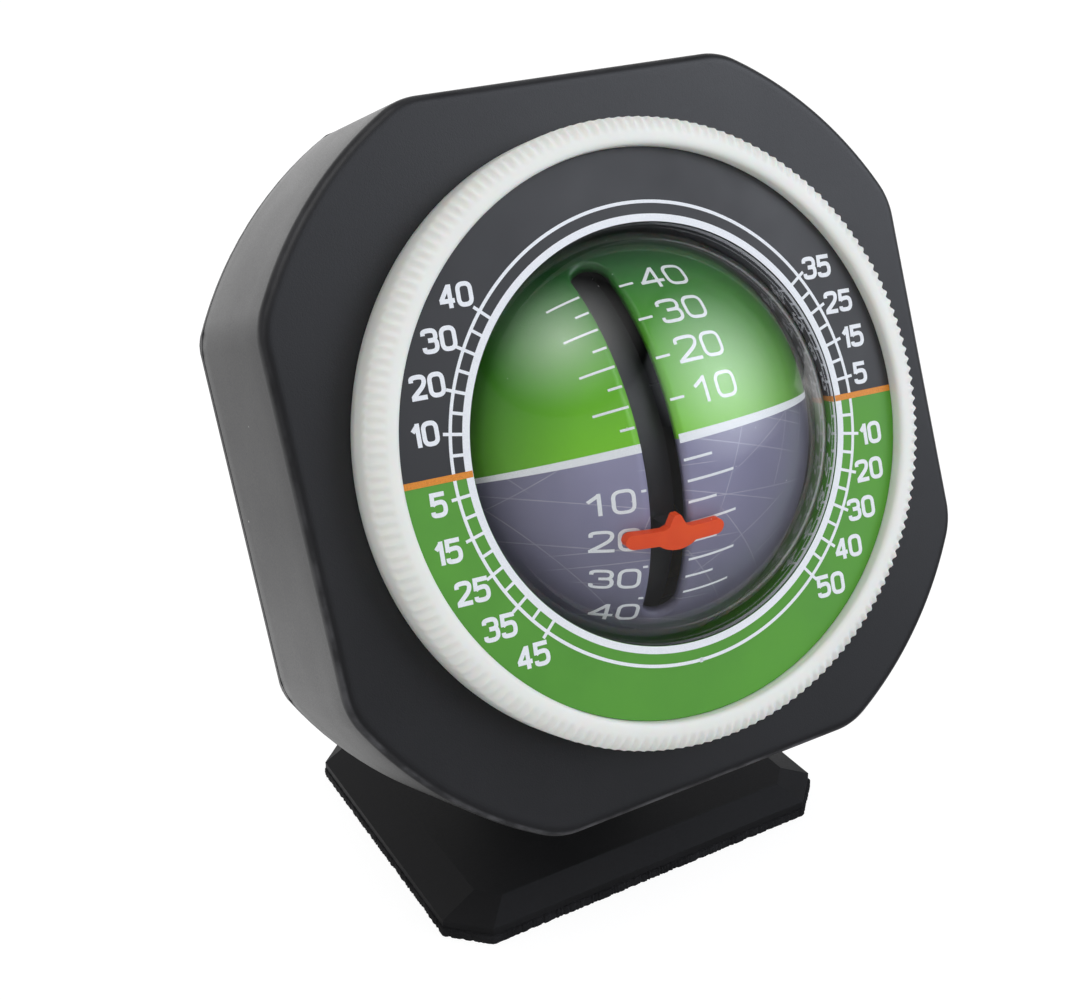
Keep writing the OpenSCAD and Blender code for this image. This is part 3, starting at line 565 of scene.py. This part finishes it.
# ---------------------------------------------------------------- print on the ball
# Silk-screened figures, ticks and the horizon line, in white ink about 0.02 mm thick.
# The figures are square with round corners, drawn with a stroke of one width. A third
# number at a corner is the share of the usual rounding there. Sizes are in millimetres.
horizon_w, tick_w, figure_w, print_t = 0.85, 0.25, 0.34, 0.02
figure_strokes = {
    "0": [([(0, 0), (1, 0), (1, 1), (0, 1)], True)],
    "1": [([(0.7, 1.05), (0.7, -0.05)], False), ([(0.7, 0.97), (0.16, 0.66)], False)],
    "slim 1": [([(1, 1.08), (1, -0.08)], False), ([(1, 0.97), (0, 0.68)], False)],
    "2": [([(0, 0.76), (0, 1), (1, 1), (1, 0.6), (0, 0.04)], False),
          ([(-0.12, 0), (1.1, 0)], False)],
    "3": [([(0, 0.78), (0, 1), (0.97, 1), (0.97, 0.53, 0.7), (0.35, 0.53)], False),
          ([(0.5, 0.53), (1, 0.53, 0.7), (1, 0), (0, 0), (0, 0.22)], False)],
    "4": [([(0.76, 1.06), (0.76, -0.08)], False), ([(0.72, 1), (0, 0.28)], False),
          ([(-0.1, 0.27), (1.1, 0.27)], False)],
    "5": [([(1.05, 1), (0.06, 1, 0), (0.03, 0.48)], False),
          ([(0.03, 0.52), (0.25, 0.62), (1, 0.62), (1, 0), (0, 0), (0, 0.2)], False)],
}


def rounded_path(corners, radius, closed):
    """Path through corners, each one replaced by a quadratic arc that starts and ends at
    the given distance from it, or at half the way to the next corner."""
    radius = radius * np.array([[*corner, 1.0][2] for corner in corners])[:, None]
    corners = np.array([corner[:2] for corner in corners], float)
    before, after = np.roll(corners, 1, 0), np.roll(corners, -1, 0)
    if not closed:
        before[0], after[-1] = corners[0], corners[-1]
    back, on = before - corners, after - corners
    far_back = np.linalg.norm(back, axis=1, keepdims=True)
    far_on = np.linalg.norm(on, axis=1, keepdims=True)
    enter = corners + back * np.minimum(radius / np.maximum(far_back, 1e-9), 0.5) * (far_on > 0)
    leave = corners + on * np.minimum(radius / np.maximum(far_on, 1e-9), 0.5) * (far_back > 0)
    t = np.linspace(0, 1, 9)[None, :, None]
    arcs = ((1 - t) ** 2 * enter[:, None] + 2 * t * (1 - t) * corners[:, None]
            + t ** 2 * leave[:, None])
    path = arcs.reshape(-1, 2)
    moved = np.linalg.norm(np.diff(path, axis=0, prepend=path[-1:] if closed else path[:1] - 1),
                           axis=1)
    return path[moved > 1e-6]


def finer(path, closed, step=0.5):
    """Path with points added evenly where one part of it is longer than a step, so that
    it follows a curved surface."""
    ends = np.concatenate([path, path[:1]]) if closed else path
    parts = np.ceil(np.linalg.norm(np.diff(ends, axis=0), axis=1) / step).astype(int).clip(1)
    starts = np.concatenate([[0], np.cumsum(parts)])
    at = np.arange(starts[-1] + (0 if closed else 1))
    part = np.minimum(np.searchsorted(starts, at, side="right") - 1, len(parts) - 1)
    share = ((at - starts[part]) / parts[part])[:, None]
    return ends[part] * (1 - share) + ends[part + 1] * share


def ribbon(path, width, closed, place_of, low, high):
    """Flat bar of the given width along a path: each point moves to both sides along the
    path's normal, lengthened at a bend, at the bar's foot and at its top."""
    ahead = np.roll(path, -1, 0) - path
    behind = path - np.roll(path, 1, 0)
    if not closed:
        ahead[-1], behind[0] = behind[-1], ahead[0]
    ahead = ahead / np.linalg.norm(ahead, axis=1, keepdims=True)
    behind = behind / np.linalg.norm(behind, axis=1, keepdims=True)
    along = ahead + behind
    along = along / np.linalg.norm(along, axis=1, keepdims=True)
    side = np.stack([-along[:, 1], along[:, 0]], 1) * width / 2
    side = side / np.maximum((along * ahead).sum(1, keepdims=True), 0.5)
    edges = np.stack([path - side, path + side, path + side, path - side], 1)
    lift = np.broadcast_to(np.array([high, high, low, low]), edges.shape[:2])
    points = place_of(edges[..., 0], edges[..., 1], lift)
    rows = len(path)
    i = np.arange(rows if closed else rows - 1)[:, None]
    j = np.arange(4)[None, :]
    faces = np.stack([i * 4 + j, ((i + 1) % rows) * 4 + j, ((i + 1) % rows) * 4 + (j + 1) % 4,
                      i * 4 + (j + 1) % 4], -1).reshape(-1, 4)
    if not closed:
        last = (rows - 1) * 4
        faces = np.concatenate([faces, [[3, 2, 1, 0], [last, last + 1, last + 2, last + 3]]])
    return points.reshape(-1, 3), faces


def figures(word, centre, high, wide, gap, stroke, round_by, slim=False):
    """Paths of a number: each figure's corners fill a box of the stroke's middle line, and
    the boxes stand side by side, centred on the given place. A slim 1 has a narrower box."""
    kinds = ["slim 1" if slim and figure == "1" else figure for figure in word]
    widths = [wide * 0.56 if kind == "slim 1" else wide for kind in kinds]
    left = centre[0] - (sum(widths) + gap * (len(word) - 1)) / 2
    made = []
    for kind, width in zip(kinds, widths):
        for layer, (points, closed) in enumerate(figure_strokes[kind]):
            placed = [(left + stroke / 2 + point[0] * (width - stroke),
                       centre[1] + (point[1] - 0.5) * (high - stroke), *point[2:])
                      for point in points]
            made.append((rounded_path(placed, round_by, closed), stroke, closed, layer))
        left += width + gap
    return made


def printed(name, strokes, place_of, low, high):
    """One mesh of all the strokes of a print. A stroke that crosses others lies a layer of
    0.004 mm higher than they do."""
    made = [ribbon(finer(path, closed), width, closed, place_of, low,
                   high + 0.004 * (layer + [0])[0]) for path, width, closed, *layer in strokes]
    starts = np.cumsum([0] + [len(points) for points, faces in made])
    return mesh_of(name, np.concatenate([points for points, faces in made]),
                   np.concatenate([faces + start for (points, faces), start in zip(made, starts)]),
                   smooth=False)


def on_ball(across, up, lift):
    """Place on the ball: millimetres across, and millimetres up along its front."""
    return at_ball(across, up / ball_r, ball_r + lift)


def arc_mm(degrees):
    """Millimetres up the ball's front for an angle in degrees."""
    return math.radians(degrees) * ball_r


def line(*ends):
    """Straight path between two ends."""
    return np.array(ends, float)


def printed_ink(name, dark, light):
    """Screen-printed ink: two close tones that follow a fine grain, half glossy."""
    made, tree, shader = finish_of(name, Coat_Weight=0.2, Coat_Roughness=0.2)
    found = place_effect(tree, surface_effect, Grain=0.1, Patch=1.2, Speck=0.05)
    tree.links.new(two_tone(tree, ranged(tree, found["Height"], 0.35, 0.6, 0, 1), dark, light),
                   shader.inputs["Base Color"])
    smooth_skin(tree, shader, found, (0.35, 0.5))
    return made


ball_strokes = [(line((-23.15, 0), (slot_at - slot_half, 0)), horizon_w, False),
                (line((slot_at + slot_half, 0), (23.15, 0)), horizon_w, False)]
# Each mark's lower figures have a place across of their own, and an angle below the line
for mark, left, low in ((10, -9.55, 11.8), (20, -9.22, 21.9), (30, -9.1, 33.3), (40, -8.6, 45.0)):
    ball_strokes += figures(str(mark), (2.5, arc_mm(mark - 0.5)), 2.6, 2.45, 0.35, figure_w, 0.8)
    ball_strokes += figures(str(mark), (left, -arc_mm(low)), 2.5, 2.1, 0.3, figure_w, 0.7)
    for start, end, up in ((-2.4, -0.95, arc_mm(mark - 1)), (-9.5, -6.3, arc_mm(mark)),
                           (-7.6, -6.3, arc_mm(mark - 5)), (-2.3, 2.8, -arc_mm(mark)),
                           (-2.4, 0.6, -arc_mm(mark - 5)), (-6.75, -6.3, -arc_mm(mark))):
        ball_strokes.append((line((start, up), (end, up)), tick_w, False))
ball_print = printed("ball_figures", ball_strokes, on_ball, -print_t, print_t)
white_ink = printed_ink("white_ink", ink(232, 235, 240), ink(244, 246, 250))
finished(ball_print, white_ink, "horizon", "ball_print")


# ---------------------------------------------------------------- pitch works
# A spoked wheel on a steel pin behind the slot, moulded in dark plastic, with a brass bush
# and a riveted brass weight. Its rim is what shows through the slot.
wheel_plastic = textured_finish("wheel_plastic", ink(19, 19, 22), ink(26, 26, 31), 0.25, 0.012,
                                (0.3, 0.45))
dress(wheel_plastic, "pitch_wheel")
dress(steel, "pitch_pin", "pin_clip", "pitch_weight_rivets")
dress(brass, "pitch_bush", "pitch_weight")


# ---------------------------------------------------------------- pointer
# A small aircraft seen from behind, moulded in orange plastic and pressed on the wheel's
# arm. It rides between the ball and the dome.
orange_plastic = textured_finish("orange_plastic", ink(236, 65, 0), ink(248, 81, 2), 0.2, 0.008,
                                 (0.35, 0.5), patch=3.0, Subsurface_Weight=0.1,
                                 Subsurface_Scale=0.001)
dress(orange_plastic, "pointer")


# ---------------------------------------------------------------- dome
# Clear polystyrene dome, moulded with a flange that the cup clamps. It is turned here as
# one closed profile: outside, flange and inside.
dome_r, dome_wall, dome_rows, dome_columns = 26.03, 1.1, 130, 300
flange_r, flange_low, flange_high, flange_edge = 27.0, -7.4, -6.2, 0.15


def arc_profile(radius, edge, count):
    """Radius and height of points on a circle about the ball's centre, from the middle to
    an angle off the axis, at edge * (1 - (1 - t)^1.5) for t from 0 to 1."""
    angle = edge * (1 - (1 - np.linspace(0, 1, count)) ** 1.5)
    return np.stack([radius * np.sin(angle), radius * np.cos(angle) - ball_depth], 1)


def angle_at(radius, out):
    """Angle off the axis at which a sphere about the ball's centre is at this height."""
    return math.acos((out + ball_depth) / radius)


def turned(profile, count):
    """Profile of radius and height carried once round the dial's axis."""
    turn = np.linspace(0, 2 * np.pi, count, endpoint=False)
    radius = profile[:, :1] + np.zeros_like(turn)
    return at_head(radius * np.cos(turn), radius * np.sin(turn),
                   profile[:, 1:] + np.zeros_like(turn))


dome_profile = np.concatenate([
    arc_profile(dome_r, angle_at(dome_r, flange_high + 0.25), dome_rows),
    [[flange_r - flange_edge, flange_high], [flange_r, flange_high - flange_edge],
     [flange_r, flange_low + flange_edge], [flange_r - flange_edge, flange_low]],
    arc_profile(dome_r - dome_wall, angle_at(dome_r - dome_wall, flange_low), dome_rows)[::-1]])
dome_piece = skin("clear_dome", turned(dome_profile, dome_columns), loop_columns=True)
# The thin wall bends a look through it very little, and its gloss, a coat, has the index of
# polystyrene. Light for the works, and their shadows, go straight through.
clear, tree, shader = finish_of("clear_plastic", Base_Color=(0.985, 0.99, 0.985, 1), IOR=1.03,
                                Transmission_Weight=1.0, Coat_Weight=1.0, Coat_Roughness=0.06,
                                Coat_IOR=1.49)
found = place_effect(tree, surface_effect, Grain=2.0, Patch=14.0, Speck=0.05)
tree.links.new(ranged(tree, found["Specks"], 0, 1, 0.0, 0.4), shader.inputs["Roughness"])
through = put(tree, "BsdfTransparent", {"Color": (0.97, 0.975, 0.97, 1)})
ray = put(tree, "LightPath").outputs
plain = calc(tree, "MAXIMUM", ray["Is Shadow Ray"], ray["Is Diffuse Ray"])
mixed = put(tree, "MixShader", {0: plain, 1: shader.outputs[0], 2: through.outputs[0]})
tree.links.new(mixed.outputs[0], tree.nodes["Material Output"].inputs["Surface"])
finished(dome_piece, clear, "head", "clear_dome", "dome_lens")


# ---------------------------------------------------------------- dial
# A printed ring of plastic seated in the bezel: dark grey above, green below, an orange
# line between them, and a white ladder of degrees on both sides. It is turned 3 degrees
# clockwise, as set by hand, with the bezel that an open wire ring holds on the spigot.
dial_turned = math.radians(3)
ring_w, ladder_w, level_w, dial_figure_w = 0.72, 0.3, 0.6, 0.42
dress(steel, "bezel_spring")
dial_skin, tree, shader = finish_of("printed_dial", Specular_IOR_Level=0.8)
where = face_place(tree, dial_turned)
parts = put(tree, "SeparateXYZ", {0: where}).outputs
found = place_effect(tree, surface_effect, Grain=0.15, Patch=10.0, Speck=0.08)
cloud = ranged(tree, found["Mottle"], 0.3, 0.7, 0, 1)
grey = two_tone(tree, cloud, ink(28, 28, 31), ink(34, 34, 38))
grass = two_tone(tree, cloud, ink(72, 150, 16), ink(82, 162, 24))
above = calc(tree, "GREATER_THAN", parts["Y"], 0.0)
tone = two_tone(tree, found["Specks"], two_tone(tree, above, grass, grey), ink(150, 150, 150))
tree.links.new(tone, shader.inputs["Base Color"])
smooth_skin(tree, shader, found, (0.4, 0.55))
dress(dial_skin, "scale_ring")


def on_dial(across, up, lift):
    """Place on the dial, turned clockwise with it: (x c + y s, y c - x s)."""
    c, s = math.cos(dial_turned), math.sin(dial_turned)
    return at_head(across * c + up * s, up * c - across * s, lift)


def radial(degrees, r_in, r_out):
    """Straight path outward at an angle, counted up from the right-hand side."""
    angle = math.radians(degrees)
    return line((r_in * math.cos(angle), r_in * math.sin(angle)),
                (r_out * math.cos(angle), r_out * math.sin(angle)))


def circle(radius):
    """Circle as a closed path."""
    turn = np.linspace(0, 2 * np.pi, 240, endpoint=False)
    return np.stack([radius * np.cos(turn), radius * np.sin(turn)], 1)


dial_strokes = [(circle(20.58), ring_w, True), (circle(22.1), 0.32, True),
                (radial(-90, 21.9, 22.35), ladder_w, False)]
# Each number with the angle and the radius of its middle
dial_numbers = {"left": ((40, 40, 24.78), (30, 30, 24.55), (20, 20, 24.6), (10, 10, 24.5),
                         (5, -5, 24.1), (15, -15, 24.7), (25, -25, 24.5), (35, -35, 24.65),
                         (45, -45, 24.65)),
                "right": ((35, 33.2, 24.4), (25, 23.2, 24.4), (15, 14, 24.3), (5, 5, 23.9),
                          (10, -9.9, 24.3), (20, -18.6, 24.4), (30, -28.2, 24.3),
                          (40, -38.3, 24.3), (50, -48.4, 24.5))}
for side, ends in (("left", (-45, 45)), ("right", (-50, 40))):
    numbered = [mark if at > 0 else -mark for mark, at, radius in dial_numbers[side]]
    for degrees in range(*ends, 5):
        angle = degrees if side == "right" else 180 - degrees
        reach = 22.8 if degrees in numbered else 22.1
        if degrees:
            dial_strokes.append((radial(angle, 20.8, reach), ladder_w, False, 1))
    for mark, at, radius in dial_numbers[side]:
        angle = math.radians(at if side == "right" else 180 - at)
        dial_strokes += figures(str(mark), (radius * math.cos(angle), radius * math.sin(angle)),
                                2.28, 1.64, 0.12, dial_figure_w, 0.55, slim=True)
dial_print = printed("dial_figures", dial_strokes, on_dial, -print_t, print_t)
finished(dial_print, white_ink, "bezel", "dial_print")
level_strokes = [(line((side * 20.25, 0), (side * 27.2, 0)), level_w, False) for side in (-1, 1)]
level_line = printed("level_line", level_strokes, on_dial, -print_t, 1.5 * print_t)
orange_ink = printed_ink("orange_ink", ink(212, 124, 18), ink(232, 146, 34))
finished(level_line, orange_ink, "bezel", "dial_print")


# ---------------------------------------------------------------- bezel
# A cream ABS ring that snaps over the spigot and turns with the dial. Its shoulder is cut
# into 180 fine ribs for the fingers; the outer wall and the inner lip are plain.
ribs, rib_depth = 180, 0.3
bezel_profile = np.array([
    [26.5, -3.7], [30.03, -3.7], [30.15, -3.58], [30.15, -2.5], [30.15, -1.2], [30.15, -0.1],
    [30.12, 0.12], [30.02, 0.38], [29.82, 0.66], [29.55, 0.9], [29.25, 1.08], [28.95, 1.2],
    [28.65, 1.27], [28.4, 1.3], [28.0, 1.3], [27.72, 1.29], [27.5, 1.2], [27.36, 1.06],
    [27.3, 0.9], [27.3, 0.02], [27.3, -0.78], [27.28, -0.8], [26.52, -0.8], [26.5, -0.82]])
# How deep the ribs are cut at each point of the profile: over its shoulder only. A groove
# is rib_depth * (0.5 - 0.5 cos(ribs * turn))^0.8 deep, and goes in along one direction.
rib_share = np.zeros(len(bezel_profile))
rib_share[5:13] = 0.25, 0.8, 1, 1, 1, 0.9, 0.55, 0.15
bezel_turns = np.linspace(0, 2 * np.pi, ribs * 8, endpoint=False)
groove = rib_share[:, None] * rib_depth * (0.5 - 0.5 * np.cos(ribs * bezel_turns)) ** 0.8
inward = np.array([-0.78, -0.62])
bezel_radius = bezel_profile[:, :1] + groove * inward[0]
bezel_out = bezel_profile[:, 1:] + groove * inward[1]
bezel_piece = skin("ribbed_bezel", at_head(bezel_radius * np.cos(bezel_turns),
                                           bezel_radius * np.sin(bezel_turns), bezel_out)[::-1],
                   loop_rows=True, loop_columns=True)
cream = textured_finish("cream_plastic", ink(236, 238, 232), ink(243, 244, 239), 0.3, 0.006,
                        (0.38, 0.5), speck_tone=ink(190, 190, 180), Subsurface_Weight=0.25,
                        Subsurface_Scale=0.0012)
finished(bezel_piece, cream, "bezel", "cream_plastic", "bezel_ring")


# ---------------------------------------------------------------- floor and light
# A plain pale floor, a white backdrop behind it, and two round soft lamps: a broad one at
# the right and a smaller one above. They are no part of the gauge.
floor = skin("floor", np.stack(np.broadcast_arrays(np.linspace(-3, 3, 3)[:, None],
                                                   np.linspace(-3, 3, 3)[None, :], 0.0), -1))
floor_paint, tree, shader = finish_of("floor_paint", Base_Color=(0.8, 0.8, 0.8, 1), Roughness=0.9)


def straight_look(tree):
    """The Light Path outputs, and whether a ray is a look from the camera that nothing has
    mirrored: the greater of Is Camera Ray and Is Transmission Ray - Glossy Depth."""
    ray = put(tree, "LightPath").outputs
    unbent = calc(tree, "SUBTRACT", ray["Is Transmission Ray"], ray["Glossy Depth"])
    return ray, calc(tree, "MAXIMUM", ray["Is Camera Ray"], unbent)


def glowing(tree, strength, colour=(1, 1, 1, 1)):
    """Output of an Emission node."""
    return put(tree, "Emission", {"Color": colour, "Strength": strength}).outputs[0]


# Seen straight on the floor is nearly white, with the gauge's shadow. Mirrored in the gauge
# it is dark in front and light behind, as a table before a white sheet would be.
ray, seen = straight_look(tree)
bright = put(tree, "MixShader", {0: 0.76, 1: shader.outputs[0], 2: glowing(tree, 1.2)}).outputs[0]
plain = put(tree, "MixShader", {0: seen, 1: shader.outputs[0], 2: bright}).outputs[0]
depth = put(tree, "SeparateXYZ", {0: put(tree, "TexCoord").outputs["Object"]}).outputs["Y"]
mirrored = calc(tree, "SUBTRACT", ranged(tree, depth, -0.02, 0.03, 0.17, 1.35),
                ranged(tree, depth, 0.035, 0.09, 0.0, 0.4))
mirrored = calc(tree, "ADD", mirrored, ranged(tree, depth, 0.5, 1.3, 0.0, 0.8))
bounced = calc(tree, "SUBTRACT", ray["Is Glossy Ray"], seen)
plain = put(tree, "MixShader", {0: bounced, 1: plain, 2: glowing(tree, mirrored)}).outputs[0]
tree.links.new(plain, tree.nodes["Material Output"].inputs["Surface"])
floor.data.materials.append(floor_paint)
backdrop = skin("backdrop", np.stack(np.broadcast_arrays(np.linspace(-3, 3, 3)[:, None], 1.4,
                                                         np.linspace(0, 2.4, 3)[None, :]), -1))
white_paint, tree, shader = finish_of("backdrop_paint")
ray, seen = straight_look(tree)
height = put(tree, "SeparateXYZ", {0: put(tree, "TexCoord").outputs["Object"]}).outputs["Z"]
strength = put(tree, "Mix", {"Factor": ray["Is Diffuse Ray"], "B": 0.6,
                             "A": ranged(tree, height, 0.2, 0.7, 1.7, 0.5)},
               data_type="FLOAT").outputs["Result"]
tree.links.new(glowing(tree, calc(tree, "MAXIMUM", strength, seen)),
               tree.nodes["Material Output"].inputs["Surface"])
backdrop.data.materials.append(white_paint)


def soft_lamp(name, place, radius, strength, fall, colour):
    """Round lamp that faces the gauge from a place in metres. At a distance r from its
    middle it gives strength * (1 - r / radius)^fall. It lights and is mirrored, but a
    straight look from any side goes through it."""
    place, aim = np.array(place), np.array([0, -0.02, 0.05])
    ahead = (aim - place) / np.linalg.norm(aim - place)
    right = np.cross(ahead, [0, 0, 1])
    right = right / np.linalg.norm(right)
    turn = np.linspace(0, 2 * np.pi, 48, endpoint=False)
    reach = np.array([0, radius])[:, None]
    disc = (place + reach[..., None] * (np.cos(turn)[:, None] * right
                                        + np.sin(turn)[:, None] * np.cross(right, ahead)))
    made = skin(name, disc, loop_columns=True)
    light, tree, shader = finish_of(name + "_light")
    away = put(tree, "VectorMath", {0: put(tree, "TexCoord").outputs["Object"], 1: tuple(place)},
               operation="DISTANCE").outputs["Value"]
    fade = calc(tree, "POWER", ranged(tree, away, 0, radius, 1, 0), fall)
    ray, seen = straight_look(tree)
    hidden = put(tree, "MixShader", {
        0: seen, 1: glowing(tree, calc(tree, "MULTIPLY", fade, strength), colour),
        2: put(tree, "BsdfTransparent").outputs[0]})
    tree.links.new(hidden.outputs[0], tree.nodes["Material Output"].inputs["Surface"])
    made.data.materials.append(light)


soft_lamp("right_panel", (0.88, -0.77, 0.66), 1.0, 3.9, 1.2, (0.87, 0.91, 1.0, 1))
soft_lamp("upper_panel", (-0.3, -0.28, 0.97), 0.7, 3.3, 1.9, (1, 1, 1, 1))
sky = bpy.data.worlds.new("studio")
bpy.context.scene.world = sky
sky.use_nodes = True
tree = sky.node_tree
ray, seen = straight_look(tree)
strength = calc(tree, "MAXIMUM", ranged(tree, ray["Is Diffuse Ray"], 0, 1, 0.16, 0.9), seen)
tree.links.new(strength, tree.nodes["Background"].inputs["Strength"])
tree.nodes["Background"].inputs["Color"].default_value = (1, 1, 1, 1)
bpy.context.scene.view_settings.view_transform = "Standard"
